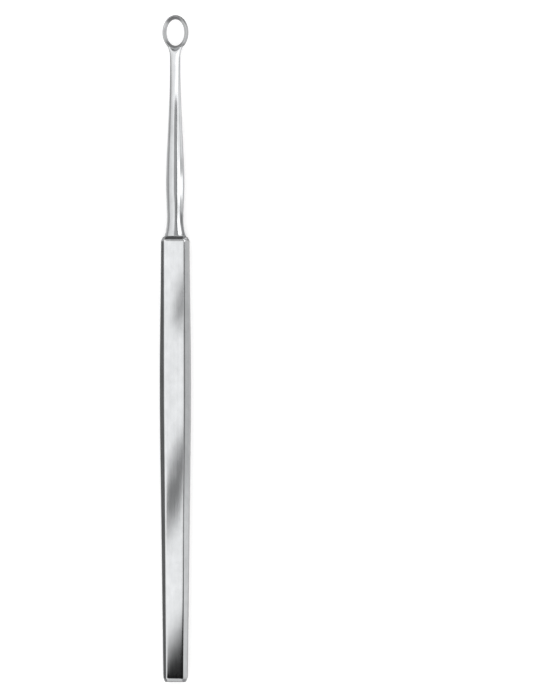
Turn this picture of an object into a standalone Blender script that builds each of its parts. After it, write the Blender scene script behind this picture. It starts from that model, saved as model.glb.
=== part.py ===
"""Dermal ring curette: one solid piece of stainless steel, 145 mm long.

The instrument lies on the back flat of its handle, head towards +Y, with its cutting edge up.
Metres, +Z up. The origin is under the middle of the instrument, on the surface it lies on.
"""

import math

import bmesh
import bpy
from mathutils import Vector

# Handle: a flattened octagonal bar, widest a third of the way down from the shoulder
HANDLE_LENGTH = 0.0969
SHOULDER_WIDTH = 0.0059
BELLY_WIDTH = 0.0066
GRIP_WIDTH = 0.0060
BUTT_WIDTH = 0.0052
BELLY_SHARE = 0.33
GRIP_SHARE = 0.64
SHOULDER_THICKNESS = 0.0048
BUTT_THICKNESS = 0.0036
SHOULDER_BEVEL = 0.00080
BELLY_BEVEL = 0.00115
BUTT_BEVEL = 0.00080
BUTT_CHAMFER_RUN = 0.0009
BUTT_CHAMFER_DROP = 0.00035

# Shoulder: a small chamfer round the end of the bar, arched across each broad flat
SHOULDER_CHAMFER_RUN = 0.00065
SHOULDER_CHAMFER_DROP = 0.00050
SHOULDER_LEDGE = 0.00010
SHOULDER_ARCH = 0.00028

# Neck: round and tapered, with a swell, a waist and a flared root
NECK_LENGTH = 0.0405
NECK_WAIST_DIAMETER = 0.00345
NECK_WAIST_FROM_SHOULDER = 0.0034
NECK_SWELL_DIAMETER = 0.0040
NECK_SWELL_FROM_SHOULDER = 0.0112
NECK_TIP_WIDTH = 0.00218
NECK_TIP_THICKNESS = 0.0014
NECK_FLATTENED_LENGTH = 0.0095

# Ring: an oval band, wedge-shaped in section, ground to an edge on its front
RING_WIDTH = 0.0056
RING_LENGTH = 0.0076
RING_DEPTH = 0.00185
RING_SIDE_WALL = 0.00090
RING_END_WALL = 0.00100
EDGE_INSET = 0.00032
EDGE_LAND = 0.00003
BACK_ROUNDING = 0.00016

# Web: where the neck opens into the two sides of the ring
WEB_LENGTH = 0.0019
WEB_JOIN_ANGLE = math.radians(41.0)

# Facets
BROAD_STEPS = 8
BEVEL_STEPS = 3
SIDE_STEPS = 6
HANDLE_SECTIONS = 16
NECK_SECTIONS = 34
FLARE_SECTIONS = 7
WEB_SECTIONS = 8
RING_FACETS = 72
WALL_SECTIONS = 6
ROUNDING_SECTIONS = 4
ONE_PLANE = math.radians(0.01)

# Brushed stainless steel
STEEL_COLOUR = (0.60, 0.61, 0.62, 1.0)
STEEL_ROUGHNESS = 0.22

# Places along the instrument's own axis, from the shoulder at 0
RING_BASE_Y = NECK_LENGTH
RING_CENTRE_Y = NECK_LENGTH + RING_LENGTH / 2
TIP_Y = NECK_LENGTH + RING_LENGTH
MIDDLE_Y = (TIP_Y - HANDLE_LENGTH) / 2


def clear_scene():
    """Remove whatever the file opened with."""
    for obj in list(bpy.data.objects):
        bpy.data.objects.remove(obj, do_unlink=True)


def steel():
    """Stainless steel with a fine satin polish."""
    material = bpy.data.materials.new("stainless_steel")
    material.use_nodes = True
    shader = material.node_tree.nodes["Principled BSDF"]
    shader.inputs["Base Color"].default_value = STEEL_COLOUR
    shader.inputs["Metallic"].default_value = 1.0
    shader.inputs["Roughness"].default_value = STEEL_ROUGHNESS
    return material


def ease(start, end, share):
    """Go from start to end without a corner at either one."""
    share = min(max(share, 0.0), 1.0)
    return start + (end - start) * share * share * (3.0 - 2.0 * share)


def curve_through(stations, at):
    """Read a smooth curve through (place, value) stations that never overshoots them."""
    slopes = [(b[1] - a[1]) / (b[0] - a[0]) for a, b in zip(stations, stations[1:])]
    tangents = [0.0]
    for before, after in zip(slopes, slopes[1:]):
        same_way = before * after > 0.0
        tangents.append(2.0 * before * after / (before + after) if same_way else 0.0)
    tangents.append(slopes[-1])
    for i, (a, b) in enumerate(zip(stations, stations[1:])):
        if at <= b[0] or i == len(slopes) - 1:
            step = b[0] - a[0]
            t = (at - a[0]) / step
            rise = t * t * (3.0 - 2.0 * t)
            leave = t * (1.0 - t) ** 2 * step * tangents[i]
            arrive = t * t * (1.0 - t) * step * tangents[i + 1]
            return a[1] + (b[1] - a[1]) * rise + leave - arrive


def bezier(points, t):
    """Read a cubic Bezier curve."""
    a, b, c, d = points
    s = 1.0 - t
    return a * s ** 3 + b * 3.0 * s * s * t + c * 3.0 * s * t * t + d * t ** 3


def divided(start, end, steps):
    """Points from start up to, but not including, end."""
    return [start.lerp(end, i / steps) for i in range(steps)]


def octagon(width, thickness, bevel):
    """A flattened octagon, going round from the middle of its +X side."""
    x, z = width / 2, thickness / 2
    corners = [Vector((x, z - bevel)), Vector((x - bevel, z))]
    corners += [Vector((-p.x, p.y)) for p in reversed(corners)]
    corners += [-p for p in corners]
    steps = [BEVEL_STEPS, BROAD_STEPS, BEVEL_STEPS, SIDE_STEPS] * 2
    points = []
    for i, count in enumerate(steps):
        points += divided(corners[i], corners[(i + 1) % 8], count)
    half_side = SIDE_STEPS // 2
    return points[-half_side:] + points[:-half_side]


def oval(width, thickness):
    """An ellipse with its points at even angles, as many as an octagon has."""
    count = 2 * (BROAD_STEPS + 2 * BEVEL_STEPS + SIDE_STEPS)
    angles = [2.0 * math.pi * i / count for i in range(count)]
    return [Vector((width / 2 * math.cos(a), thickness / 2 * math.sin(a))) for a in angles]


def across(section, y, arch=0.0):
    """Stand an X-Z section across the instrument's axis, arched back towards its sides."""
    reach = max(p.x for p in section)
    return [Vector((p.x, y - arch * (p.x / reach) ** 2, p.y)) for p in section]


def level(half_width, half_length, z):
    """An ellipse lying flat round the ring's centre."""
    angles = [2.0 * math.pi * i / RING_FACETS for i in range(RING_FACETS)]
    return [
        Vector((half_width * math.cos(a), RING_CENTRE_Y + half_length * math.sin(a), z))
        for a in angles
    ]


def loft(name, sections):
    """Skin a row of sections with as many points each, close both ends, and join faces in one plane."""
    bm = bmesh.new()
    rows = [[bm.verts.new(p) for p in section] for section in sections]
    for low, high in zip(rows, rows[1:]):
        for i in range(len(low)):
            j = (i + 1) % len(low)
            bm.faces.new((low[i], low[j], high[j], high[i]))
    bm.faces.new(rows[0])
    bm.faces.new(rows[-1])
    bmesh.ops.dissolve_limit(bm, angle_limit=ONE_PLANE, verts=bm.verts, edges=bm.edges)
    bmesh.ops.recalc_face_normals(bm, faces=bm.faces)
    mesh = bpy.data.meshes.new(name)
    bm.to_mesh(mesh)
    bm.free()
    mesh.shade_smooth()
    mesh.set_sharp_from_angle(angle=math.radians(22.0))
    obj = bpy.data.objects.new(name, mesh)
    bpy.context.scene.collection.objects.link(obj)
    return obj


def handle_sections():
    """Octagonal sections from the butt's end face to the shoulder's chamfer."""
    widths = [
        (0.0, SHOULDER_WIDTH),
        (HANDLE_LENGTH * BELLY_SHARE, BELLY_WIDTH),
        (HANDLE_LENGTH * GRIP_SHARE, GRIP_WIDTH),
        (HANDLE_LENGTH, BUTT_WIDTH),
    ]
    bevels = [
        (0.0, SHOULDER_BEVEL),
        (HANDLE_LENGTH * BELLY_SHARE, BELLY_BEVEL),
        (HANDLE_LENGTH, BUTT_BEVEL),
    ]

    def bar(back, inset=0.0):
        """The bar's section, set in by so much, at a distance back from the shoulder."""
        share = back / HANDLE_LENGTH
        thickness = SHOULDER_THICKNESS + (BUTT_THICKNESS - SHOULDER_THICKNESS) * share
        bevel = curve_through(bevels, back) - inset * (2.0 - math.sqrt(2.0))
        return octagon(curve_through(widths, back) - 2 * inset, thickness - 2 * inset, bevel)

    sections = [across(bar(HANDLE_LENGTH, BUTT_CHAMFER_DROP), -HANDLE_LENGTH)]
    first = HANDLE_LENGTH - BUTT_CHAMFER_RUN
    last = SHOULDER_CHAMFER_RUN
    for i in range(HANDLE_SECTIONS + 1):
        back = first + (last - first) * i / HANDLE_SECTIONS
        arch = SHOULDER_ARCH if i == HANDLE_SECTIONS else 0.0
        sections.append(across(bar(back), -back, arch))
    sections.append(across(bar(0.0, SHOULDER_CHAMFER_DROP), 0.0, SHOULDER_ARCH))
    return sections


def neck_width(y, web_start):
    """The neck's width, from its waist over the swell to the ring."""
    if y < NECK_SWELL_FROM_SHOULDER:
        rise = (y - NECK_WAIST_FROM_SHOULDER) / (NECK_SWELL_FROM_SHOULDER - NECK_WAIST_FROM_SHOULDER)
        return ease(NECK_WAIST_DIAMETER, NECK_SWELL_DIAMETER, rise)
    fall = (y - NECK_SWELL_FROM_SHOULDER) / (web_start - NECK_SWELL_FROM_SHOULDER)
    return ease(NECK_SWELL_DIAMETER, NECK_TIP_WIDTH, fall)


def neck_sections():
    """Oval sections from the flared root to the web inside the ring."""
    inset = SHOULDER_CHAMFER_DROP + SHOULDER_LEDGE
    root_width = SHOULDER_WIDTH - 2 * inset
    root_thickness = SHOULDER_THICKNESS - 2 * inset
    sections = []
    for i in range(FLARE_SECTIONS):
        turn = math.pi / 2 * i / FLARE_SECTIONS
        left = 1.0 - math.sin(turn)
        y = NECK_WAIST_FROM_SHOULDER * (1.0 - math.cos(turn))
        width = NECK_WAIST_DIAMETER + (root_width - NECK_WAIST_DIAMETER) * left
        thickness = NECK_WAIST_DIAMETER + (root_thickness - NECK_WAIST_DIAMETER) * left
        sections.append(across(oval(width, thickness), y, SHOULDER_ARCH * left))

    web_start = RING_BASE_Y - WEB_LENGTH
    flatness = NECK_TIP_THICKNESS / NECK_TIP_WIDTH
    for i in range(NECK_SECTIONS + 1):
        y = NECK_WAIST_FROM_SHOULDER + (web_start - NECK_WAIST_FROM_SHOULDER) * i / NECK_SECTIONS
        width = neck_width(y, web_start)
        flattened = ease(1.0, flatness, 1.0 - (web_start - y) / NECK_FLATTENED_LENGTH)
        sections.append(across(oval(width, width * flattened), y))
    return sections + web_sections(web_start)


def web_sections(web_start):
    """The neck opening out until it runs into the ring's outline."""
    half_width, half_length = RING_WIDTH / 2, RING_LENGTH / 2
    sine, cosine = math.sin(WEB_JOIN_ANGLE), math.cos(WEB_JOIN_ANGLE)
    join = Vector((half_width * sine, RING_CENTRE_Y - half_length * cosine))
    along = Vector((half_width * cosine, half_length * sine)).normalized()
    start = Vector((NECK_TIP_WIDTH / 2, web_start))
    span = join.y - start.y
    side = (start, start + Vector((0.0, 0.42 * span)), join - along * 0.26 * span, join)
    sections = []
    for i in range(1, WEB_SECTIONS + 1):
        p = bezier(side, i / WEB_SECTIONS)
        sections.append(across(oval(2 * p.x, NECK_TIP_THICKNESS), p.y))
    sections.append(across(oval(2 * join.x, NECK_TIP_THICKNESS), join.y + RING_END_WALL / 2))
    return sections


def ring_blank():
    """The ring's outer form: a rounded back, and a wall that leans in to the edge."""
    back = -RING_DEPTH / 2
    half_width, half_length = RING_WIDTH / 2, RING_LENGTH / 2
    sections = []
    for i in range(ROUNDING_SECTIONS + 1):
        turn = math.pi / 2 * i / ROUNDING_SECTIONS
        drop = BACK_ROUNDING * (1.0 - math.sin(turn))
        z = back + BACK_ROUNDING * (1.0 - math.cos(turn))
        sections.append(level(half_width - drop, half_length - drop, z))
    for i in range(1, WALL_SECTIONS + 1):
        share = i / WALL_SECTIONS
        lean = EDGE_INSET * share ** 1.6
        z = back + BACK_ROUNDING + (RING_DEPTH - BACK_ROUNDING) * share
        sections.append(level(half_width - lean, half_length - lean, z))
    return loft("ring_blank", sections)


def bowl_cutter():
    """The hole through the ring, opening out from its back to the cutting edge."""
    back, front = -RING_DEPTH / 2, RING_DEPTH / 2
    hole = Vector((RING_WIDTH / 2 - RING_SIDE_WALL, RING_LENGTH / 2 - RING_END_WALL))
    edge = Vector((RING_WIDTH / 2, RING_LENGTH / 2)) - Vector((1.0, 1.0)) * (EDGE_INSET + EDGE_LAND)
    wider = Vector((1.0, 1.0)) * BACK_ROUNDING
    sections = [level(*(hole + wider), back - RING_DEPTH)]
    for i in range(ROUNDING_SECTIONS + 1):
        turn = math.pi / 2 * i / ROUNDING_SECTIONS
        half = hole + wider * (1.0 - math.sin(turn))
        sections.append(level(*half, back + BACK_ROUNDING * (1.0 - math.cos(turn))))
    for i in range(1, WALL_SECTIONS + 2):
        share = i / WALL_SECTIONS
        half = hole + (edge - hole) * share ** 1.25
        sections.append(level(*half, back + BACK_ROUNDING + (front - back - BACK_ROUNDING) * share))
    return loft("bowl_cutter", sections)


def hide(tool):
    """Keep a shape that only builds another out of the model."""
    tool.hide_render = True
    tool.display_type = "WIRE"


def combine(obj, tool, operation):
    """Join a tool to an object, or cut it away."""
    modifier = obj.modifiers.new(tool.name, "BOOLEAN")
    modifier.operation = operation
    modifier.solver = "EXACT"
    modifier.object = tool
    tool.parent = obj
    hide(tool)


def lay_down(obj):
    """Rest the instrument on the back flat of its tapered handle, over the origin."""
    taper = (SHOULDER_THICKNESS - BUTT_THICKNESS) / 2
    tilt = math.atan2(taper, HANDLE_LENGTH)
    lift = SHOULDER_THICKNESS / 2 * math.cos(tilt)
    obj.rotation_euler = (tilt, 0.0, 0.0)
    obj.location = (0.0, -MIDDLE_Y * math.cos(tilt), lift)


def main():
    clear_scene()
    curette = loft("curette", handle_sections() + neck_sections())
    curette.data.materials.append(steel())
    combine(curette, ring_blank(), "UNION")
    combine(curette, bowl_cutter(), "DIFFERENCE")
    lay_down(curette)


main()
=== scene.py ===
import math

import bmesh
import bpy
from bpy.props import FloatProperty, FloatVectorProperty, IntProperty, PointerProperty
from mathutils import Matrix, Vector


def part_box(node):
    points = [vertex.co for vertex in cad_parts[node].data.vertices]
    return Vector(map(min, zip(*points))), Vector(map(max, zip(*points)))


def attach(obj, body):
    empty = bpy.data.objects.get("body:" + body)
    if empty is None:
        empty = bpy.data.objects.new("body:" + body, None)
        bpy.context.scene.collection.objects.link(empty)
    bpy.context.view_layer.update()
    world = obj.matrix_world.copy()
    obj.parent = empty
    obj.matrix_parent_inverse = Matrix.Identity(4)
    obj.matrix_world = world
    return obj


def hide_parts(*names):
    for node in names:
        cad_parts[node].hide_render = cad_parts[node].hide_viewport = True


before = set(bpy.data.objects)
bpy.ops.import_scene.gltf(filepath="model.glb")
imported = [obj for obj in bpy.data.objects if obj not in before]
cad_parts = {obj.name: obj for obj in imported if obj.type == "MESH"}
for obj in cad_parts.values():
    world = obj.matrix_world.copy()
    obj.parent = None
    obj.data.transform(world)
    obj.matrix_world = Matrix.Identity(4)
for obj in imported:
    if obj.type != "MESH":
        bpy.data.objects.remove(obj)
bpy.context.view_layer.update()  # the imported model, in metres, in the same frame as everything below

bl_info = {
    "name": "Dermal Ring Curette",
    "version": (1, 0, 0),
    "blender": (4, 5, 0),
    "location": "3D View > Sidebar > Curette",
    "description": "Builds a stainless steel dermal ring curette and the pale studio that it lies in",
    "category": "Add Mesh",
}

# The cage that gets subdivided: corners round each cross-section of the bar, stations round the ring, and
# corners round the ring's own section
COLUMNS = 16
STATIONS = 32
RING_CORNERS = 9
COLUMN_TURN = math.tau / COLUMNS
FIRST_COLUMN = COLUMN_TURN / 2
STATION_TURN = math.tau / STATIONS
FIRST_STATION = STATION_TURN / 2 - math.pi / 2

# Half the quads that the ring leaves open at its foot, where the web's last cross-section meets it
MOUTH_HALF_QUADS = 3.5

# Subdividing draws a round cage in, one of 16 corners more than one of 32, so each is made fuller
OVAL_FULLNESS = 1.0 / 0.9746
RING_FULLNESS = 1.0 / 0.9936

# How sharply the subdivision holds an edge, from 0 to 1
LONG_EDGE_HOLD = 0.42
END_FACE_HOLD = 0.5
CHAMFER_HOLD = 0.45
SHOULDER_RIM_HOLD = 0.42
WEB_RIM_HOLD = 0.9

# What the tree reads at each cross-section along the instrument
ROW_VALUES = ("place", "half_width", "half_thickness", "bevel", "roundness", "arch", "opening", "hoop")

# Cross-sections of the handle, the gap from the last one to the shoulder's chamfer, and those of the neck
HANDLE_SECTIONS = 14
SHOULDER_GAP = 0.0015
NECK_SECTIONS = 14

# The neck's root is a concave round: the turns in degrees at which it is read, and how soon it has spread
ROOT_TURNS = (3, 13, 26, 41, 60)
ROOT_SPREAD = 0.75

# How soon the neck gets thin above its swell
NECK_THINNING = 0.83

# How far the web is open at its cross-sections, and for what share of its length its side follows the neck
# at one end and the ring at the other
WEB_OPENINGS = (0.25, 0.5, 0.75)
WEB_FOLLOWS_NECK = 0.42
WEB_FOLLOWS_RING = 0.26

# The sine of the angle round the ring where the foot's hollow starts, and how fast it fades down the web
HOLLOW_START = -0.93
HOLLOW_FADE = 5.0

# Heights in the ring's walls, as shares of half its depth: where the web meets the outer wall, in front and
# at the back, and where the inner wall bends, with how far across it bends there
MOUTH_FRONT = 0.48
MOUTH_BACK = -0.65
INNER_BEND = 0.15
INNER_BEND_ACROSS = 0.45

# How the outer wall curves in towards the cutting edge: 1 is straight
OUTER_WALL_CURVE = 1.6

# Skins that lie closer than this are joined, and widths under this count as none
SEAM = 2e-6
NO_WIDTH = 1e-6

# Edges that bend more than this are shaded sharp, and between these two they get rubbed bright
SHARP_BEND = math.radians(35.0)
RUBBED_BENDS = (math.radians(2.2), math.radians(6.0))


def setting(kind=FloatProperty, **limits):
    """A function that declares a value of this kind, which a user may change within these limits."""

    def declare(name, default, description):
        return kind(name=name, default=default, description=description, **limits)

    return declare


length = setting(min=0.0, precision=5, subtype="DISTANCE", unit="LENGTH")
share = setting(min=0.0, max=1.0, subtype="FACTOR")
angle = setting(subtype="ANGLE")
strength = setting(min=0.0, soft_max=4.0)
tint = setting(FloatVectorProperty, size=3, min=0.0, max=1.0, subtype="COLOR")
number = setting(IntProperty, min=0, max=3)


class CuretteHandleSizes(bpy.types.PropertyGroup):
    """The flattened octagonal handle"""

    length: length("Length", 0.0969, "From the shoulder to the end")
    shoulder_width: length("Shoulder width", 0.0060, "Across the handle at the shoulder")
    belly_width: length("Belly width", 0.00672, "Across the widest place")
    grip_width: length("Grip width", 0.00608, "Across the tapering lower part")
    butt_width: length("End width", 0.0052, "Across the handle at its end")
    belly_place: share("Belly place", 0.33, "How far down the handle it is widest")
    grip_place: share("Grip place", 0.64, "How far down the handle the grip width is measured")
    shoulder_thickness: length("Shoulder thickness", 0.0048, "Front to back at the shoulder")
    butt_thickness: length("End thickness", 0.0036, "Front to back at the end")
    shoulder_bevel: length("Shoulder bevel", 0.00080, "Size of the long bevels at the shoulder")
    belly_bevel: length("Belly bevel", 0.00115, "Size of the long bevels at the widest place")
    butt_bevel: length("End bevel", 0.00080, "Size of the long bevels at the end")
    butt_chamfer_run: length("End chamfer length", 0.0009, "Length of the chamfer round the end")
    butt_chamfer_drop: length("End chamfer depth", 0.00035, "Depth of the chamfer round the end")
    shoulder_chamfer_run: length("Shoulder chamfer length", 0.00080, "Length of the chamfer at the shoulder")
    shoulder_chamfer_drop: length("Shoulder chamfer depth", 0.00042, "Depth of the chamfer at the shoulder")
    shoulder_ledge: length("Shoulder ledge", 0.00004, "Flat left between the chamfer and the neck's root")
    shoulder_arch: length("Shoulder arch", 0.00020, "How far the chamfer's edge bows back towards the sides")
    edge_softness: length("Edge softness", 0.00010, "How far the long edges are eased on each side")


class CuretteNeckSizes(bpy.types.PropertyGroup):
    """The round neck and its flare"""

    length: length("Length", 0.0405, "From the shoulder to the foot of the ring")
    waist_diameter: length("Waist diameter", 0.00345, "Across the narrow place above the shoulder")
    waist_place: length("Waist place", 0.0034, "From the shoulder to the waist")
    swell_diameter: length("Swell diameter", 0.0040, "Across the thickest place")
    swell_place: length("Swell place", 0.0112, "From the shoulder to the swell")
    tip_width: length("Tip width", 0.00218, "Across the neck where the web starts")
    tip_thickness: length("Tip thickness", 0.0014, "Front to back where the web starts")
    flattened_length: length("Flattened length", 0.0095, "Length over which the neck turns flat")
    web_length: length("Web length", 0.0019, "From the start of the web to the foot of the ring")
    foot_hollow: length("Foot hollow", 0.00048, "Depth of the small hollow in front of the ring's foot")
    web_angle: angle("Web angle", math.radians(41.0), "How far round the ring the web reaches on each side")


class CuretteRingSizes(bpy.types.PropertyGroup):
    """The oval ring and its cutting edge"""

    width: length("Width", 0.00570, "Across the ring, outside")
    length: length("Length", 0.0076, "Along the ring, outside")
    depth: length("Depth", 0.00185, "From the back to the cutting edge")
    side_wall: length("Side wall", 0.00097, "From the outside to the hole, at the sides")
    end_wall: length("End wall", 0.00100, "From the outside to the hole, at the tip and the foot")
    edge_inset: length("Edge inset", 0.00032, "How far the cutting edge stands in from the outside")
    edge_land: length("Edge land", 0.00003, "Width of the cutting edge")
    back_rounding: length("Back rounding", 0.00016, "How far the back's corners are rounded")
    levels: number("Smoothing", 3, "How often the cage is subdivided")


class CuretteSteel(bpy.types.PropertyGroup):
    """The stainless steel and its finish"""

    colour: tint("Colour", (0.60, 0.61, 0.62), "Colour of the steel")
    worn_colour: tint("Worn edge colour", (0.74, 0.745, 0.75), "Colour along edges that are rubbed bright")
    handle_roughness: share("Handle roughness", 0.15, "Polish of the handle")
    neck_roughness: share("Neck roughness", 0.12, "Polish of the neck")
    ring_roughness: share("Ring roughness", 0.20, "Ground finish of the ring")
    grain_pitch: length("Grain pitch", 0.00012, "Distance between the fine polishing lines")
    grain_depth: length("Grain depth", 0.0000012, "Depth of the fine polishing lines")
    wave_depth: length("Wave depth", 0.00010, "Depth of the slow waves that hand polishing leaves")


class CuretteStage(bpy.types.PropertyGroup):
    """The camera, the floor and the studio's light"""

    floor_colour: tint("Floor colour", (0.93, 0.93, 0.93), "Colour of the pale floor")
    surround: strength("Studio brightness", 1.0, "Brightness of the studio round the object")
    backdrop: strength("Backdrop brightness", 1.0, "Brightness of the plain backdrop")
    roll: angle("Roll", math.radians(4.0), "How far round the object the camera is moved, to its right side")
    distance: length("Camera distance", 1.2, "From the camera to the object")
    frame_height: length("Frame height", 0.1496, "Height of the picture at the object")
    aside: length("Object aside", 0.02169, "How far left of the picture's middle the object lies")
    above: length("Object low", 0.00095, "How far below the picture's middle the object lies")


def ease(start, end, at):
    """Go from start to end without a corner at either one."""
    at = min(max(at, 0.0), 1.0)
    return start + (end - start) * at * at * (3.0 - 2.0 * at)


def curve_through(stations, at):
    """Read a smooth curve through (place, value) stations that never overshoots them."""
    slopes = [(b[1] - a[1]) / (b[0] - a[0]) for a, b in zip(stations, stations[1:])]
    tangents = [0.0]
    for before, after in zip(slopes, slopes[1:]):
        same_way = before * after > 0.0
        tangents.append(2.0 * before * after / (before + after) if same_way else 0.0)
    tangents.append(slopes[-1])
    for i, (a, b) in enumerate(zip(stations, stations[1:])):
        if at <= b[0] or i == len(slopes) - 1:
            step = b[0] - a[0]
            t = (at - a[0]) / step
            rise = t * t * (3.0 - 2.0 * t)
            leave = t * (1.0 - t) ** 2 * step * tangents[i]
            arrive = t * t * (1.0 - t) * step * tangents[i + 1]
            return a[1] + (b[1] - a[1]) * rise + leave - arrive


def bezier(points, t):
    """Read a cubic Bezier curve."""
    a, b, c, d = points
    s = 1.0 - t
    return a * s ** 3 + b * 3.0 * s * s * t + c * 3.0 * s * t * t + d * t ** 3


def cross_section(place, width, thickness, **values):
    """One cross-section: where it is along the axis, and what the tree reads there."""
    row = dict.fromkeys(ROW_VALUES, 0.0)
    row.update(values, place=place, half_width=width / 2, half_thickness=thickness / 2)
    return row


def handle_rows(handle):
    """Octagonal cross-sections from the end's chamfer to the shoulder's."""
    widths = [
        (0.0, handle.shoulder_width),
        (handle.length * handle.belly_place, handle.belly_width),
        (handle.length * handle.grip_place, handle.grip_width),
        (handle.length, handle.butt_width),
    ]
    bevels = [
        (0.0, handle.shoulder_bevel),
        (handle.length * handle.belly_place, handle.belly_bevel),
        (handle.length, handle.butt_bevel),
    ]

    def bar(back, inset=0.0, **values):
        """The bar's section, set in by so much, at a distance back from the shoulder."""
        taper = (handle.butt_thickness - handle.shoulder_thickness) * back / handle.length
        thickness = handle.shoulder_thickness + taper - 2 * inset
        bevel = curve_through(bevels, back) - inset * (2.0 - math.sqrt(2.0))
        return cross_section(-back, curve_through(widths, back) - 2 * inset, thickness, bevel=bevel, **values)

    first = handle.length - handle.butt_chamfer_run
    last = handle.shoulder_chamfer_run
    span = last + SHOULDER_GAP - first
    rows = [bar(handle.length, handle.butt_chamfer_drop, hoop=END_FACE_HOLD), bar(first, hoop=CHAMFER_HOLD)]
    rows += [bar(first + span * i / HANDLE_SECTIONS) for i in range(1, HANDLE_SECTIONS + 1)]
    rows.append(bar(last, arch=handle.shoulder_arch, hoop=CHAMFER_HOLD))
    rows.append(bar(0.0, handle.shoulder_chamfer_drop, arch=handle.shoulder_arch, hoop=SHOULDER_RIM_HOLD))
    return rows


def neck_rows(handle, neck):
    """Round cross-sections from the flared root over the waist and swell to the web."""
    inset = handle.shoulder_chamfer_drop + handle.shoulder_ledge
    root_width = handle.shoulder_width - 2 * inset
    root_thickness = handle.shoulder_thickness - 2 * inset
    waist = neck.waist_diameter
    rows = []
    for degrees in ROOT_TURNS:
        turn = math.radians(degrees)
        left = (1.0 - math.sin(turn)) ** ROOT_SPREAD
        place = neck.waist_place * (1.0 - math.cos(turn))
        width = waist + (root_width - waist) * left
        thickness = waist + (root_thickness - waist) * left
        rows.append(cross_section(place, width, thickness, roundness=1.0, arch=handle.shoulder_arch * left))

    web_start = neck.length - neck.web_length
    flatness = neck.tip_thickness / neck.tip_width
    for i in range(NECK_SECTIONS):
        place = neck.waist_place + (web_start - neck.waist_place) * i / (NECK_SECTIONS - 1)
        if place < neck.swell_place:
            rise = (place - neck.waist_place) / (neck.swell_place - neck.waist_place)
            width = ease(waist, neck.swell_diameter, rise)
        else:
            fall = (place - neck.swell_place) / (web_start - neck.swell_place)
            width = ease(neck.swell_diameter, neck.tip_width, fall ** NECK_THINNING)
        flattened = ease(1.0, flatness, 1.0 - (web_start - place) / neck.flattened_length)
        rows.append(cross_section(place, width, width * flattened, roundness=1.0))
    return rows


def web_rows(neck, ring):
    """Cross-sections that open out, and bow, until the last one lies on the ring's outer wall."""
    half_width, half_length = ring.width / 2, ring.length / 2
    centre = neck.length + half_length
    sine, cosine = math.sin(neck.web_angle), math.cos(neck.web_angle)
    join = Vector((half_width * sine, centre - half_length * cosine))
    along = Vector((half_width * cosine, half_length * sine)).normalized()
    start = Vector((neck.tip_width / 2, neck.length - neck.web_length))
    span = join.y - start.y
    leave = start + Vector((0.0, WEB_FOLLOWS_NECK * span))
    side = (start, leave, join - along * WEB_FOLLOWS_RING * span, join)
    corner = STATION_TURN * MOUTH_HALF_QUADS
    mouth = Vector((half_width * math.sin(corner), centre - half_length * math.cos(corner)))
    shape = {"thickness": neck.tip_thickness, "roundness": 1.0}
    rows = []
    for opening in WEB_OPENINGS:
        p = (bezier(side, opening) - mouth * opening) / (1.0 - opening)
        width = 2.0 * p.x / (OVAL_FULLNESS * math.cos(FIRST_COLUMN))
        rows.append(cross_section(p.y, width, opening=opening, **shape))
    rows.append(cross_section(neck.length, ring.width, opening=1.0, hoop=WEB_RIM_HOLD, **shape))
    return rows


def spine_mesh(rows):
    """A mesh with one vertex for each cross-section, which carries its values."""
    mesh = bpy.data.meshes.new("curette_spine")
    mesh.from_pydata([(0.0, row["place"], 0.0) for row in rows], [], [])
    for name in ROW_VALUES:
        attribute = mesh.attributes.new(name, "FLOAT", "POINT")
        attribute.data.foreach_set("value", [row[name] for row in rows])
    return mesh


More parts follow.
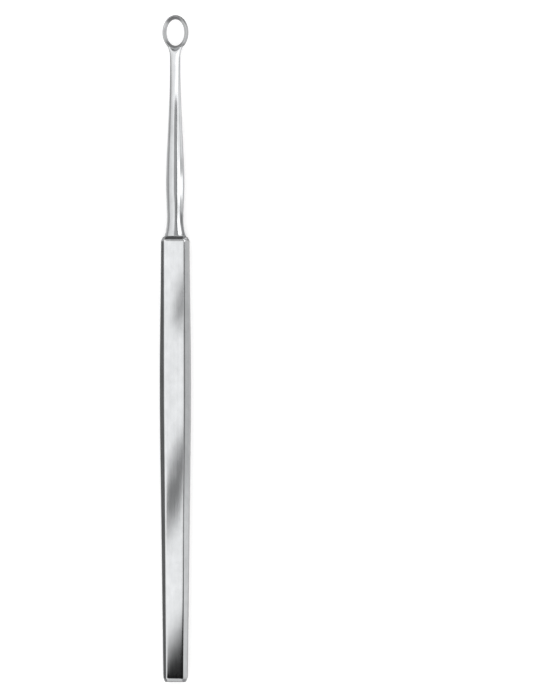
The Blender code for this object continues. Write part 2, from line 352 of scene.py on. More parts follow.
class Tree:
    """Adds nodes to a tree and links them, so that a rule reads as a line."""

    def __init__(self, tree, inputs=(), outputs=()):
        self.tree = tree
        for name, kind in inputs:
            tree.interface.new_socket(name=name, in_out="INPUT", socket_type=kind)
        for name, kind in outputs:
            tree.interface.new_socket(name=name, in_out="OUTPUT", socket_type=kind)
        self.given = tree.nodes.new("NodeGroupInput").outputs if inputs else None

    def put(self, socket, value):
        """Link a socket's value in, or set it."""
        if isinstance(value, bpy.types.NodeSocket):
            self.tree.links.new(value, socket)
        else:
            socket.default_value = value

    def node(self, kind, inputs=(), **settings):
        """Add a node with these inputs, by place or by name."""
        node = self.tree.nodes.new(kind)
        for name, value in settings.items():
            setattr(node, name, value)
        for key, value in inputs.items() if isinstance(inputs, dict) else enumerate(inputs):
            self.put(node.inputs[key], value)
        return node

    def math(self, operation, *values):
        """A Math node's result."""
        return self.node("ShaderNodeMath", values, operation=operation).outputs[0]

    def total(self, a, b):
        """a + b"""
        return self.math("ADD", a, b)

    def less(self, a, b):
        """a - b"""
        return self.math("SUBTRACT", a, b)

    def times(self, a, b):
        """a * b"""
        return self.math("MULTIPLY", a, b)

    def over(self, a, b):
        """a / b"""
        return self.math("DIVIDE", a, b)

    def linear(self, a, factor, offset):
        """a * factor + offset"""
        return self.math("MULTIPLY_ADD", a, factor, offset)

    def between(self, a, b, at):
        """From a to b, as at goes from 0 to 1."""
        return self.math("MULTIPLY_ADD", self.less(b, a), at, a)

    def ramp(self, value, start, end, low=0.0, high=1.0):
        """Go smoothly from low to high as value goes from start to end."""
        inputs = {"Value": value, "From Min": start, "From Max": end, "To Min": low, "To Max": high}
        return self.node("ShaderNodeMapRange", inputs, interpolation_type="SMOOTHSTEP").outputs["Result"]

    def xyz(self, x, y, z):
        """A vector from three numbers."""
        return self.node("ShaderNodeCombineXYZ", (x, y, z)).outputs[0]

    def parts(self, vector):
        """A vector's three numbers."""
        return self.node("ShaderNodeSeparateXYZ", (vector,)).outputs

    def blend(self, a, b, at):
        """From vector a to vector b, as at goes from 0 to 1."""
        gap = self.node("ShaderNodeVectorMath", (b, a), operation="SUBTRACT").outputs[0]
        step = self.node("ShaderNodeVectorMath", {0: gap, "Scale": at}, operation="SCALE").outputs[0]
        return self.node("ShaderNodeVectorMath", (a, step), operation="ADD").outputs[0]

    def choose(self, index, vectors):
        """The vector that an index picks."""
        node = self.node("GeometryNodeIndexSwitch", data_type="VECTOR")
        while len(node.index_switch_items) < len(vectors):
            node.index_switch_items.new()
        whole = self.node("FunctionNodeFloatToInt", (index,), rounding_mode="ROUND").outputs[0]
        self.put(node.inputs["Index"], whole)
        for i, vector in enumerate(vectors):
            self.put(node.inputs[i + 1], vector)
        return node.outputs[0]

    def sampled(self, geometry, name, index):
        """A named value at one point of another geometry."""
        value = self.node("GeometryNodeInputNamedAttribute", {"Name": name}, data_type="FLOAT").outputs[0]
        inputs = {"Geometry": geometry, "Value": value, "Index": index}
        return self.node("GeometryNodeSampleIndex", inputs, data_type="FLOAT", domain="POINT").outputs[0]

    def group(self, tree, **inputs):
        """Another tree's results."""
        node = self.tree.nodes.new("GeometryNodeGroup")
        node.node_tree = tree
        for name, value in inputs.items():
            self.put(node.inputs[name.replace("_", " ")], value)
        return node.outputs

    def give(self, *values):
        """End the tree with these results."""
        node = self.tree.nodes.new("NodeGroupOutput")
        for socket, value in zip(node.inputs, values):
            self.put(socket, value)


def point_tree(name, **inputs):
    """A new tree that gives a position, from inputs of these kinds."""
    made = bpy.data.node_groups.new(name, "GeometryNodeTree")
    sockets = [(key.replace("_", " "), "NodeSocket" + kind) for key, kind in inputs.items()]
    return made, Tree(made, sockets, [("Position", "NodeSocketVector")])


def ring_point_tree():
    """A point of the ring, from its angle and how far in from the outline and how high it is."""
    made, t = point_tree("Ring Point", Angle="Float", Inset="Vector", Ring="Vector")
    inset, ring = t.parts(t.given["Inset"]), t.parts(t.given["Ring"])
    wide = t.times(t.less(ring[0], inset[0]), RING_FULLNESS)
    long = t.times(t.less(ring[1], inset[1]), RING_FULLNESS)
    x = t.times(wide, t.math("COSINE", t.given["Angle"]))
    y = t.total(ring[2], t.times(long, t.math("SINE", t.given["Angle"])))
    t.give(t.xyz(x, y, inset[2]))
    return made


def foot_hollow_tree():
    """Lower a point that is near the ring's foot, most in the middle of it."""
    made, t = point_tree("Foot Hollow", Position="Vector", Angle="Float", Depth="Float")
    near = t.ramp(t.math("SINE", t.given["Angle"]), HOLLOW_START, -1.0)
    x, y, z = t.parts(t.given["Position"])[:3]
    t.give(t.xyz(x, y, t.less(z, t.times(t.given["Depth"], near))))
    return made


def section_point_tree(ring_point, foot_hollow):
    """A corner of a cross-section: octagonal or oval, flat or bowed on to the ring's outer wall."""
    kinds = {"Spine": "Geometry", "Column": "Float", "Row": "Int", "Edge_Softness": "Float"}
    kinds |= {"Foot_Hollow": "Float", "Ring": "Vector", "Mouth_Front": "Vector", "Mouth_Back": "Vector"}
    made, t = point_tree("Section Point", **kinds)
    row = {name: t.sampled(t.given["Spine"], name, t.given["Row"]) for name in ROW_VALUES}
    column = t.math("MODULO", t.given["Column"], float(COLUMNS))
    turn = t.linear(column, COLUMN_TURN, FIRST_COLUMN)
    cosine, sine = t.math("COSINE", turn), t.math("SINE", turn)
    across, up = t.math("ABSOLUTE", cosine), t.math("ABSOLUTE", sine)

    wide, thick, bevel = row["half_width"], row["half_thickness"], row["bevel"]
    soft = t.given["Edge Softness"]
    slant = t.times(soft, math.sqrt(0.5))
    side_corner = t.less(thick, bevel)
    broad_corner = t.less(wide, bevel)
    corners = [
        t.xyz(wide, 0.0, t.less(side_corner, soft)),
        t.xyz(t.less(wide, slant), 0.0, t.total(side_corner, slant)),
        t.xyz(t.total(broad_corner, slant), 0.0, t.less(thick, slant)),
        t.xyz(t.less(broad_corner, soft), 0.0, thick),
    ]
    quarter = t.over(t.less(t.math("ARCCOSINE", across), FIRST_COLUMN), COLUMN_TURN)
    octagonal = t.choose(quarter, corners)
    out, high = (t.times(t.times(a, b), OVAL_FULLNESS) for a, b in ((wide, across), (thick, up)))
    shape = t.parts(t.blend(octagonal, t.xyz(out, 0.0, high), row["roundness"]))
    off = t.over(shape[0], t.math("MAXIMUM", wide, NO_WIDTH))
    y = t.less(row["place"], t.times(row["arch"], t.times(off, off)))
    flat = t.xyz(t.times(shape[0], t.math("SIGN", cosine)), y, t.times(shape[2], t.math("SIGN", sine)))

    on_front = t.math("LESS_THAN", column, COLUMNS / 2 - 0.5)
    mouth = STATION_TURN * MOUTH_HALF_QUADS
    front_angle = t.linear(column, -STATION_TURN, mouth - math.pi / 2)
    back_angle = t.linear(column, STATION_TURN, -mouth - math.pi / 2 - STATION_TURN * COLUMNS / 2)
    angle = t.between(back_angle, front_angle, on_front)
    inset = t.blend(t.given["Mouth Back"], t.given["Mouth Front"], on_front)
    bowed = t.group(ring_point, Angle=angle, Inset=inset, Ring=t.given["Ring"])[0]
    point = t.blend(flat, bowed, row["opening"])
    fade = t.math("POWER", row["opening"], HOLLOW_FADE)
    depth = t.times(t.times(t.given["Foot Hollow"], on_front), fade)
    t.give(t.group(foot_hollow, Position=point, Angle=angle, Depth=depth)[0])
    return made


class CuretteTree(Tree):
    """The whole instrument as one smooth skin: handle, neck and web, the end's face, and the ring."""

    sizes = (
        "Edge Softness", "Ring Width", "Ring Length", "Ring Depth", "Ring Foot", "Side Wall", "End Wall",
        "Edge Inset", "Edge Land", "Back Rounding", "Foot Hollow",
    )

    def __init__(self):
        made = bpy.data.node_groups.new("Curette", "GeometryNodeTree")
        inputs = [("Spine", "NodeSocketGeometry"), *((name, "NodeSocketFloat") for name in self.sizes)]
        inputs += [("Smoothing", "NodeSocketInt"), ("Steel", "NodeSocketMaterial")]
        super().__init__(made, inputs, [("Geometry", "NodeSocketGeometry")])
        self.ring_point = ring_point_tree()
        self.foot_hollow = foot_hollow_tree()
        self.section_point = section_point_tree(self.ring_point, self.foot_hollow)
        given = self.given
        self.half_depth = self.times(given["Ring Depth"], 0.5)
        half_width, half_length = (self.times(given[name], 0.5) for name in ("Ring Width", "Ring Length"))
        self.ring = self.xyz(half_width, half_length, self.total(given["Ring Foot"], half_length))
        self.mouth_front = self.outer_wall(self.times(self.half_depth, MOUTH_FRONT))
        self.mouth_back = self.outer_wall(self.times(self.half_depth, MOUTH_BACK))
        self.index = self.node("GeometryNodeInputIndex").outputs[0]
        self.ends = self.node("GeometryNodeInputMeshEdgeVertices").outputs

    def outer_wall(self, height):
        """The ring's outer wall at a height, leaning in towards the edge, as (inset, inset, height)."""
        rounding = self.given["Back Rounding"]
        rise = self.less(self.total(height, self.half_depth), rounding)
        rise = self.math("MAXIMUM", self.over(rise, self.less(self.given["Ring Depth"], rounding)), 0.0)
        lean = self.times(self.given["Edge Inset"], self.math("POWER", rise, OUTER_WALL_CURVE))
        return self.xyz(lean, lean, height)

    def inner_wall(self, height, at):
        """The ring's inner wall at a height, where at is 0 at the hole and 1 at the cutting edge."""
        edge = self.total(self.given["Edge Inset"], self.given["Edge Land"])
        across = self.between(self.given["Side Wall"], edge, at)
        return self.xyz(across, self.between(self.given["End Wall"], edge, at), height)

    def ring_corners(self):
        """The nine corners of the ring's section: edge, outer wall, rounded back, inner wall, edge."""
        given = self.given
        front, back = self.half_depth, self.times(self.half_depth, -1.0)
        low = self.linear(given["Back Rounding"], 0.5, back)
        near = self.times(given["Back Rounding"], 0.5)
        return [
            self.xyz(given["Edge Inset"], given["Edge Inset"], front),
            self.mouth_front,
            self.mouth_back,
            self.xyz(0.0, 0.0, low),
            self.xyz(near, near, back),
            self.xyz(self.less(given["Side Wall"], near), self.less(given["End Wall"], near), back),
            self.xyz(given["Side Wall"], given["End Wall"], low),
            self.inner_wall(self.times(self.half_depth, INNER_BEND), INNER_BEND_ACROSS),
            self.inner_wall(front, 1.0),
        ]

    def line_of(self, vertex, count):
        """Which of a grid's lines a vertex is on, where each has so many vertices, and its place on it."""
        line = self.math("FLOOR", self.over(self.total(vertex, 0.5), count))
        return line, self.less(vertex, self.times(line, count))

    def ring_line_of(self, vertex):
        """The station of a vertex of the ring, and its corner, the last of which is the first again."""
        station, corner = self.line_of(vertex, RING_CORNERS + 1.0)
        return station, self.math("MODULO", corner, float(RING_CORNERS))

    def grid(self, lines, count, position):
        """A grid of lines with so many vertices each, put in place."""
        grid = self.node("GeometryNodeMeshGrid", {"Vertices X": lines, "Vertices Y": count}).outputs[0]
        return self.node("GeometryNodeSetPosition", {"Geometry": grid, "Position": position}).outputs[0]

    def stored(self, geometry, name, value, domain):
        """Keep a value on the geometry under a name."""
        inputs = {"Geometry": geometry, "Name": name, "Value": value}
        kinds = {"data_type": "FLOAT", "domain": domain}
        return self.node("GeometryNodeStoreNamedAttribute", inputs, **kinds).outputs[0]

    def held(self, geometry, hold):
        """Keep how sharply each edge is held, for the subdivision to read."""
        return self.stored(geometry, "hold", hold, "EDGE")

    def same(self, a, b):
        """1 where two counts are the same, otherwise 0."""
        return self.math("COMPARE", a, b, 0.5)

    def flipped(self, geometry):
        """Turn a grid's faces outwards."""
        return self.node("GeometryNodeFlipFaces", (geometry,)).outputs[0]

    def section(self, column, row):
        """A corner of a cross-section of the bar."""
        given = self.given
        inputs = {"Spine": given["Spine"], "Column": column, "Row": row, "Ring": self.ring}
        inputs |= {"Edge_Softness": given["Edge Softness"], "Foot_Hollow": given["Foot Hollow"]}
        inputs |= {"Mouth_Front": self.mouth_front, "Mouth_Back": self.mouth_back}
        return self.group(self.section_point, **inputs)[0]

    def bar(self):
        """Handle, neck and web: a grid of columns along the spine, held along its edges and its hoops."""
        spine = self.given["Spine"]
        size = self.node("GeometryNodeAttributeDomainSize", (spine,), component="MESH")
        count = size.outputs["Point Count"]
        column, row = self.line_of(self.index, count)
        bar = self.grid(COLUMNS + 1, count, self.section(column, row))
        column_a, row_a = self.line_of(self.ends[0], count)
        column_b, row_b = self.line_of(self.ends[1], count)
        roundness = (self.sampled(spine, "roundness", row) for row in (row_a, row_b))
        corner = self.times(self.less(1.0, self.math("MAXIMUM", *roundness)), LONG_EDGE_HOLD)
        hoop = self.sampled(spine, "hoop", row_a)
        return self.flipped(self.held(bar, self.between(hoop, corner, self.same(column_a, column_b))))

    def end_face(self):
        """The flat face at the handle's end."""
        column, bottom = self.line_of(self.index, 2.0)
        across = self.between(column, self.less(COLUMNS - 1.0, column), bottom)
        return self.held(self.grid(COLUMNS // 2, 2, self.section(across, 0)), END_FACE_HOLD)

    def band(self):
        """The ring, held along both sides of its cutting edge, and open where the web meets it."""
        station, corner = self.ring_line_of(self.index)
        angle = self.linear(station, STATION_TURN, FIRST_STATION)
        inset = self.choose(corner, self.ring_corners())
        point = self.group(self.ring_point, Angle=angle, Inset=inset, Ring=self.ring)[0]
        depth = self.times(self.given["Foot Hollow"], self.same(corner, 1.0))
        point = self.group(self.foot_hollow, Position=point, Angle=angle, Depth=depth)[0]
        band = self.grid(STATIONS + 1, RING_CORNERS + 1, point)
        start, end = (self.ring_line_of(vertex)[1] for vertex in (self.ends[0], self.ends[1]))
        at_edge = self.total(self.same(start, 0.0), self.same(start, RING_CORNERS - 1.0))
        band = self.held(band, self.times(self.same(start, end), at_edge))

        kinds = {"data_type": "FLOAT", "domain": "POINT"}
        on_points = (self.node("GeometryNodeFieldOnDomain", (value,), **kinds) for value in (corner, station))
        corner, station = (node.outputs[0] for node in on_points)
        # A face reads the mean of its points, so the outer wall, between corners 1 and 2, reads 1.5
        middle = STATIONS / 2
        off_foot = self.less(middle, self.math("ABSOLUTE", self.less(station, middle - 0.5)))
        at_foot = self.math("LESS_THAN", off_foot, MOUTH_HALF_QUADS)
        on_outer_wall = self.math("COMPARE", corner, 1.5, 0.1)
        inputs = {"Geometry": band, "Selection": self.times(at_foot, on_outer_wall)}
        return self.flipped(self.node("GeometryNodeDeleteGeometry", inputs, domain="FACE").outputs[0])

    def smoothed(self, skins):
        """Join the skins into one, subdivide it, and mark what is rubbed bright."""
        join = self.node("GeometryNodeJoinGeometry")
        for skin in skins:
            self.put(join.inputs[0], skin)
        inputs = {"Geometry": join.outputs[0], "Distance": SEAM}
        whole = self.node("GeometryNodeMergeByDistance", inputs).outputs[0]
        hold = self.node("GeometryNodeInputNamedAttribute", {"Name": "hold"}, data_type="FLOAT").outputs[0]
        inputs = {"Mesh": whole, "Level": self.given["Smoothing"], "Edge Crease": hold}
        smooth = self.node("GeometryNodeSubdivisionSurface", inputs).outputs[0]
        inputs = {"Geometry": smooth, "Shade Smooth": True}
        smooth = self.node("GeometryNodeSetShadeSmooth", inputs).outputs[0]
        bend = self.node("GeometryNodeInputMeshEdgeAngle").outputs["Unsigned Angle"]
        sharp = self.math("GREATER_THAN", bend, SHARP_BEND)
        inputs = {"Geometry": smooth, "Selection": sharp, "Shade Smooth": False}
        smooth = self.node("GeometryNodeSetShadeSmooth", inputs, domain="EDGE").outputs[0]
        inputs = {"Value": self.ramp(bend, *RUBBED_BENDS), "Iterations": 1}
        rubbed = self.node("GeometryNodeBlurAttribute", inputs, data_type="FLOAT").outputs[0]
        return self.stored(smooth, "rubbed", rubbed, "POINT")

    def build(self):
        """Make the tree and return it."""
        whole = self.smoothed([self.bar(), self.end_face(), self.band()])
        whole = self.node("GeometryNodeRealizeInstances", (whole,)).outputs[0]
        inputs = {"Geometry": whole, "Material": self.given["Steel"]}
        self.give(self.node("GeometryNodeSetMaterial", inputs).outputs[0])
        return self.tree


def laid_down(handle, neck, ring):
    """The instrument's own axis turned and lifted, so that it rests on its back flat, over the origin."""
    tilt = math.atan2((handle.shoulder_thickness - handle.butt_thickness) / 2, handle.length)
    middle = (neck.length + ring.length - handle.length) / 2
    place = Vector((0.0, -middle * math.cos(tilt), handle.shoulder_thickness / 2 * math.cos(tilt)))
    return Matrix.Translation(place) @ Matrix.Rotation(tilt, 4, "X")


# Where the neck's finish and the ring's set in, from the shoulder and from the web's start, in metres
NECK_FINISH = (-0.0009, 0.0002)
RING_FINISH = (-0.0015, 0.0015)

# Marks of polishing: how often they repeat across and along the instrument, and their detail. The first two
# are that many times slower than the grain's pitch, the others are given for each metre.
GRAIN_MARKS = {"grain": (1.0, 160.0, 2.0), "lines": (4.0, 900.0, 1.0)}
SLOW_MARKS = {"smudges": (260.0, 90.0, 3.0), "clouds": (640.0, 400.0, 3.0), "waves": (110.0, 42.0, 0.0)}

# How much the marks change the roughness and the tone, and how much rubbing changes the roughness and tint
ROUGHNESS_MARKS = {"grain": 0.10, "smudges": 0.10}
TONE_MARKS = {"lines": 0.10, "grain": 0.06, "smudges": 0.20, "clouds": 0.26}
RUBBED_ROUGHNESS = -0.05
RUBBED_TINT = 0.7


def steel_material(finish, shoulder, web):
    """Stainless steel: satin on the handle, bright on the neck, ground on the ring, rubbed on its edges."""
    material = bpy.data.materials.new("stainless_steel")
    material.use_nodes = True
    t = Tree(material.node_tree)
    shader = material.node_tree.nodes["Principled BSDF"]
    shader.inputs["Metallic"].default_value = 1.0
    coords = t.node("ShaderNodeTexCoord").outputs["Object"]
    along = t.parts(coords)[1]
    on_neck = t.ramp(along, *(shoulder + place for place in NECK_FINISH))
    on_ring = t.ramp(along, *(web + place for place in RING_FINISH))
    rubbed = t.node("ShaderNodeAttribute", attribute_name="rubbed").outputs["Fac"]

    def noise(across, along, detail):
        """Noise on the object's own coordinates, stretched along it."""
        spread = t.node("ShaderNodeMapping", {"Vector": coords, "Scale": (across, along, across)}).outputs[0]
        return t.node("ShaderNodeTexNoise", {"Vector": spread, "Scale": 1.0, "Detail": detail}).outputs["Fac"]

    fine = 1.0 / finish.grain_pitch
    marks = {name: noise(fine / a, fine / b, detail) for name, (a, b, detail) in GRAIN_MARKS.items()}
    marks |= {name: noise(*values) for name, values in SLOW_MARKS.items()}

    roughness = t.between(finish.handle_roughness, finish.neck_roughness, on_neck)
    roughness = t.between(roughness, finish.ring_roughness, on_ring)
    for name, amount in ROUGHNESS_MARKS.items():
        roughness = t.linear(t.less(marks[name], 0.5), amount, roughness)
    t.put(shader.inputs["Roughness"], t.linear(rubbed, RUBBED_ROUGHNESS, roughness))

    tone = 1.0
    for name, amount in TONE_MARKS.items():
        tone = t.linear(t.less(marks[name], 0.5), amount, tone)
    # This node's inputs 0, 6 and 7 are the factor and both colours, and its output 2 is the mixed one
    inputs = {0: t.times(rubbed, RUBBED_TINT), 6: (*finish.colour, 1.0), 7: (*finish.worn_colour, 1.0)}
    colour = t.node("ShaderNodeMix", inputs, data_type="RGBA").outputs[2]
    colour = t.node("ShaderNodeVectorMath", {0: colour, "Scale": tone}, operation="SCALE").outputs[0]
    t.put(shader.inputs["Base Color"], colour)

    inputs = {"Height": marks["waves"], "Distance": finish.wave_depth, "Strength": 1.0}
    slow = t.node("ShaderNodeBump", inputs).outputs[0]
    inputs = {"Height": marks["grain"], "Distance": finish.grain_depth, "Strength": 1.0, "Normal": slow}
    t.put(shader.inputs["Normal"], t.node("ShaderNodeBump", inputs).outputs[0])
    return material


# The floor's finish and its size, and how far it lies under the instrument, in metres
FLOOR_FINISH = {"Roughness": 0.9, "Specular IOR Level": 0.1, "Emission Strength": 0.35}
FLOOR_RADIUS = 3.0
FLOOR_SIDES = 96
FLOOR_GAP = 0.00002

# The height of the camera's film in millimetres, and how near and how far it sees in metres
FILM_HEIGHT = 36.0
IN_SIGHT = (0.05, 20.0)


def floor_material(stage):
    """A plain pale floor that glows a little, as a lit white table does."""
    material = bpy.data.materials.new("pale_floor")
    material.use_nodes = True
    shader = material.node_tree.nodes["Principled BSDF"]
    shader.inputs["Base Color"].default_value = (*stage.floor_colour, 1.0)
    shader.inputs["Emission Color"].default_value = (1.0, 1.0, 1.0, 1.0)
    for name, value in FLOOR_FINISH.items():
        shader.inputs[name].default_value = value
    return material


# The studio round the object: brightness by the angle from straight above, positive towards its right side
STUDIO = (
    (-180, 0.50), (-150, 0.66), (-112, 0.80), (-104, 0.17), (-87, 0.13), (-81, 0.85), (-60, 1.05),
    (-30, 1.22), (-3, 1.38), (3, 0.60), (9, 0.22), (58, 0.20), (74, 0.50), (82, 0.66), (92, 0.70),
    (120, 0.74), (150, 0.70), (165, 0.55), (180, 0.50),
)
BRIGHTEST = 2.0

# How far a direction leans to an end of the object where the light there starts to take over from the
# panels, and where it has: for low directions, for high ones, and how far up each of them points
ENDS_LOW = (0.38, 0.75)
ENDS_HIGH = (0.48, 0.84)
LOW_TO_HIGH = (0.05, 0.40)
STEEPEST = 0.999

# That light gets bright as directions point further up. Beyond the tip it does so later, from a darker tone.
ENDS_RISE = (0.25, 0.65)
ENDS_DARK = 0.14
ENDS_BRIGHT = 0.66
TIP_LIFT = 0.32
TIP_DARKER = (-0.20, 0.20, 0.0, 0.22)

# A low panel at both ends, which fades in and out again as directions point further up, and the lit floor
LOW_PANEL = (0.03, 0.12, 0.0, 0.62)
LOW_PANEL_TOP = (0.40, 0.27)
FLOOR_LIGHT = (-0.30, -0.75, 0.0, 0.30)

# Reflectors and flags near the object, which only its polish shows. For each: middle, size, turn in
# degrees, brightness, how soft its edges are across and along, and strength
CARDS = {
    "neck_high_reflector": ((0.062, 0.0415, 0.05), (0.066, 0.037), (0, 45, 0), 2.3, (0.34, 0.3), 0.96),
    "neck_low_reflector": ((0.045, 0.0358, 0), (0.06, 0.0125), (0, 90, 0), 1.8, (0.5, 0.5), 0.95),
    "neck_edge_reflector": ((0.045, 0.056, 0.032), (0.06, 0.026), (0, 90, 0), 1.3, (0.4, 0.4), 0.9),
    "neck_side_reflector": ((0.045, 0.054, -0.018), (0.05, 0.022), (0, 90, 0), 1.15, (0.4, 0.4), 0.9),
    "neck_left_reflector": ((-0.04, 0.043, -0.004), (0.026, 0.04), (0, 90, 0), 0.55, (0.4, 0.4), 0.85),
    "root_flag": ((0.0095, 0.0267, 0.0002), (0.0115, 0.0064), (0, 90, 0), 0.25, (0.45, 0.4), 0.88),
    "neck_flag": ((0.006, 0.0435, 0.05), (0.04, 0.037), (0, 0, 0), 0.46, (0.4, 0.4), 0.92),
    "tip_reflector": ((0.032, 0.0715, 0.04), (0.07, 0.028), (0, 12, 0), 1.9, (0.2, 0.45), 0.95),
    "lower_reflector": ((0.04, -0.056, 0.01), (0.03, 0.062), (0, 90, 0), 0.95, (0.5, 0.5), 0.85),
    "edge_reflector": ((0.044, -0.06, 0.04), (0.05, 0.044), (0, 45, 0), 0.9, (0.4, 0.45), 0.8),
    "end_flag": ((0.0143, -0.0695, 0.03), (0.06, 0.04), (0, 0, 50), 0, (0.2, 0.42), 1),
    "middle_flag": ((-0.0021, -0.0308, 0.03), (0.008, 0.035), (0, 0, -15), 0.09, (0.8, 0.8), 0.89),
    "shoulder_flag": ((-0.0002, 0.0095, 0.03), (0.0062, 0.018), (0, 0, -10), 0.2, (0.85, 0.85), 0.78),
}


def studio_world(stage):
    """Soft light from panels above, at both sides and at both ends, and a plain backdrop."""
    world = bpy.data.worlds.new("studio")
    world.use_nodes = True
    t = Tree(world.node_tree)
    x, y, z = t.parts(t.node("ShaderNodeTexCoord").outputs["Generated"])[:3]
    turn = t.linear(t.math("ARCTAN2", x, z), 1.0 / math.tau, 0.5)
    panels = t.node("ShaderNodeValToRGB", (turn,))
    ramp = panels.color_ramp
    while len(ramp.elements) < len(STUDIO):
        ramp.elements.new(0.5)
    for element, (degrees, tone) in zip(ramp.elements, STUDIO):
        element.position = degrees / 360.0 + 0.5
        element.color = (tone / BRIGHTEST,) * 3 + (1.0,)
    light = t.times(panels.outputs[0], BRIGHTEST)
    away = t.math("ABSOLUTE", y)
    level = t.math("SQRT", t.less(1.0, t.math("MINIMUM", t.times(z, z), STEEPEST)))
    low, high = t.ramp(t.over(away, level), *ENDS_LOW), t.ramp(away, *ENDS_HIGH)
    ends = t.between(low, high, t.ramp(z, *LOW_TO_HIGH))
    lift = t.times(t.math("GREATER_THAN", y, 0.0), TIP_LIFT)
    dark = t.less(ENDS_DARK, t.times(lift, t.ramp(z, *TIP_DARKER)))
    end_light = t.ramp(z, *(t.total(lift, place) for place in ENDS_RISE), dark, ENDS_BRIGHT)
    low_panel = t.times(t.ramp(z, *LOW_PANEL), t.ramp(z, *LOW_PANEL_TOP))
    end_light = t.math("MAXIMUM", end_light, low_panel)
    end_light = t.math("MAXIMUM", end_light, t.ramp(z, *FLOOR_LIGHT))
    light = t.times(t.between(light, end_light, ends), stage.surround)
    path = t.node("ShaderNodeLightPath").outputs
    background = world.node_tree.nodes["Background"]
    background.inputs["Color"].default_value = (1.0, 1.0, 1.0, 1.0)
    t.put(background.inputs["Strength"], t.between(stage.backdrop, light, path["Is Glossy Ray"]))
    bpy.context.scene.world = world


def card_material(name, tone, soft_edge, strength):
    """A card of one brightness, whose edges fade out."""
    material = bpy.data.materials.new(name)
    material.use_nodes = True
    material.node_tree.nodes.clear()
    t = Tree(material.node_tree)
    sides = t.parts(t.node("ShaderNodeTexCoord").outputs["Object"])[:2]
    fades = (t.ramp(t.math("ABSOLUTE", at), 1.0, 1.0 - soft) for at, soft in zip(sides, soft_edge))
    cover = t.times(*fades)
    card = t.node("ShaderNodeEmission", {"Color": (1.0, 1.0, 1.0, 1.0), "Strength": tone}).outputs[0]
    clear = t.node("ShaderNodeBsdfTransparent").outputs[0]
    mixed = t.node("ShaderNodeMixShader", (t.times(cover, strength), clear, card)).outputs[0]
    t.node("ShaderNodeOutputMaterial", {"Surface": mixed})
    return material


def card(name, middle, size, turn, tone, soft_edge, strength):
    """Put up a reflector or a flag, out of the camera's sight."""
    mesh = bpy.data.meshes.new(name)
    mesh.from_pydata([(-1, -1, 0), (1, -1, 0), (1, 1, 0), (-1, 1, 0)], [], [(0, 1, 2, 3)])
    mesh.materials.append(card_material(name, tone, soft_edge, strength))
    made = bpy.data.objects.new(name, mesh)
    made.location = middle
    made.rotation_euler = [math.radians(degrees) for degrees in turn]
    made.scale = (size[0] / 2, size[1] / 2, 1.0)
    for seen_by in ("camera", "diffuse", "transmission", "volume_scatter", "shadow"):
        setattr(made, "visible_" + seen_by, False)
    bpy.context.scene.collection.objects.link(made)


class CURETTE_OT_instrument(bpy.types.Operator):
    """Build the curette as one smooth piece of steel in place of its plain solid"""

    bl_idname = "curette.instrument"
    bl_label = "Build Curette"

    def execute(self, context):
        scene = context.scene
        handle, neck, ring = scene.curette_handle, scene.curette_neck, scene.curette_ring
        lay = laid_down(handle, neck, ring)
        shoulder = (lay @ Vector((0.0, 0.0, 0.0))).y
        steel = steel_material(scene.curette_steel, shoulder, shoulder + neck.length - neck.web_length)
        rows = handle_rows(handle) + neck_rows(handle, neck) + web_rows(neck, ring)
        spine = bpy.data.objects.new("curette_spine", spine_mesh(rows))
        scene.collection.objects.link(spine)

        modifier = spine.modifiers.new("Curette", "NODES")
        modifier.node_group = CuretteTree().build()
        values = {
            "Edge Softness": handle.edge_softness, "Ring Foot": neck.length, "Foot Hollow": neck.foot_hollow,
            "Ring Width": ring.width, "Ring Length": ring.length, "Ring Depth": ring.depth,
            "Side Wall": ring.side_wall, "End Wall": ring.end_wall, "Edge Inset": ring.edge_inset,
            "Edge Land": ring.edge_land, "Back Rounding": ring.back_rounding, "Smoothing": ring.levels,
            "Steel": steel,
        }
        for socket in modifier.node_group.interface.items_tree:
            if socket.name in values:
                modifier[socket.identifier] = values[socket.name]

        evaluated = spine.evaluated_get(context.evaluated_depsgraph_get())
        mesh = bpy.data.meshes.new_from_object(evaluated)
        bpy.data.objects.remove(spine, do_unlink=True)
        if len(mesh.polygons) == 0:
            raise RuntimeError("the curette came out empty")
        mesh.attributes.remove(mesh.attributes["hold"])
        mesh.materials.clear()
        mesh.materials.append(steel)
        mesh.transform(lay)
        mesh.name = "curette_steel"
        piece = bpy.data.objects.new("curette_steel", mesh)
        scene.collection.objects.link(piece)
        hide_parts("curette")
        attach(piece, "root")
        return {"FINISHED"}


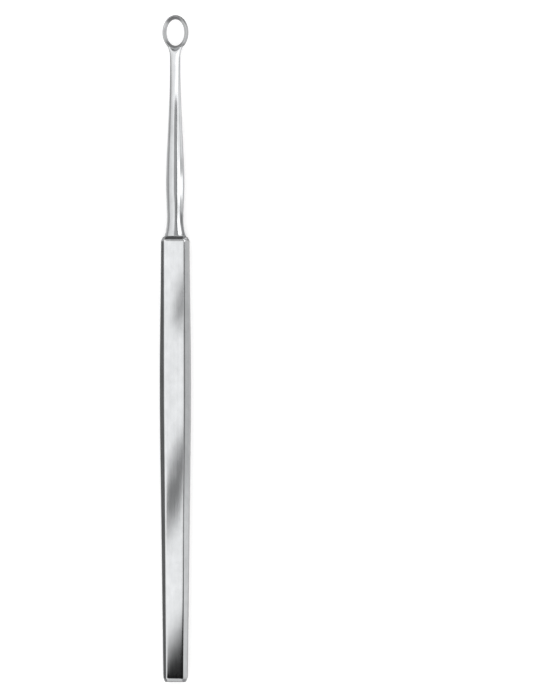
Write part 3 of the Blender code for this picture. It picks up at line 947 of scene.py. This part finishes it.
class CURETTE_OT_stage(bpy.types.Operator):
    """Build the pale floor, the soft studio light and the camera"""

    bl_idname = "curette.stage"
    bl_label = "Build Stage"

    def execute(self, context):
        scene = context.scene
        stage = scene.curette_stage
        bm = bmesh.new()
        bmesh.ops.create_circle(bm, cap_ends=True, segments=FLOOR_SIDES, radius=FLOOR_RADIUS)
        mesh = bpy.data.meshes.new("floor")
        bm.to_mesh(mesh)
        bm.free()
        mesh.materials.append(floor_material(stage))
        floor = bpy.data.objects.new("floor", mesh)
        floor.location = (0.0, 0.0, -FLOOR_GAP)
        floor.visible_glossy = False
        scene.collection.objects.link(floor)
        studio_world(stage)
        for name, values in CARDS.items():
            card(name, *values)

        data = bpy.data.cameras.new("camera")
        data.sensor_fit = "VERTICAL"
        data.sensor_height = FILM_HEIGHT
        data.lens = data.sensor_height * stage.distance / stage.frame_height
        data.clip_start, data.clip_end = IN_SIGHT
        camera = bpy.data.objects.new("camera", data)
        scene.collection.objects.link(camera)
        turned = Matrix.Rotation(stage.roll, 4, "Y")
        low, high = (Vector(corner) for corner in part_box("curette"))
        aim = (low + high) / 2 + turned @ Vector((stage.aside, stage.above, 0.0))
        back = Matrix.Translation((0.0, 0.0, stage.distance))
        camera.matrix_world = Matrix.Translation(aim) @ turned @ back
        scene.camera = camera
        scene.view_settings.view_transform = "Standard"
        return {"FINISHED"}


class CURETTE_PT_panel(bpy.types.Panel):
    """Sizes, finishes and the operators that build from them"""

    bl_idname = "CURETTE_PT_panel"
    bl_label = "Dermal Ring Curette"
    bl_space_type = "VIEW_3D"
    bl_region_type = "UI"
    bl_category = "Curette"

    def draw(self, context):
        for title, name, operator in PANEL_ROWS:
            box = self.layout.box()
            box.label(text=title)
            group = getattr(context.scene, name)
            for key in group.__annotations__:
                box.prop(group, key)
            if operator:
                box.operator(operator)


PANEL_ROWS = (
    ("Handle", "curette_handle", None),
    ("Neck", "curette_neck", None),
    ("Ring", "curette_ring", None),
    ("Steel", "curette_steel", CURETTE_OT_instrument.bl_idname),
    ("Stage", "curette_stage", CURETTE_OT_stage.bl_idname),
)
GROUPS = {
    "curette_handle": CuretteHandleSizes,
    "curette_neck": CuretteNeckSizes,
    "curette_ring": CuretteRingSizes,
    "curette_steel": CuretteSteel,
    "curette_stage": CuretteStage,
}
CLASSES = (*GROUPS.values(), CURETTE_OT_instrument, CURETTE_OT_stage, CURETTE_PT_panel)


def register():
    """Add the classes and the values that they read."""
    for cls in CLASSES:
        bpy.utils.register_class(cls)
    for name, group in GROUPS.items():
        setattr(bpy.types.Scene, name, PointerProperty(type=group))


def unregister():
    """Take the values and the classes out again."""
    for name in GROUPS:
        delattr(bpy.types.Scene, name)
    for cls in reversed(CLASSES):
        bpy.utils.unregister_class(cls)


def main():
    """Build everything in order."""
    register()
    bpy.ops.curette.instrument()
    bpy.ops.curette.stage()


if __name__ == "__main__":
    main()
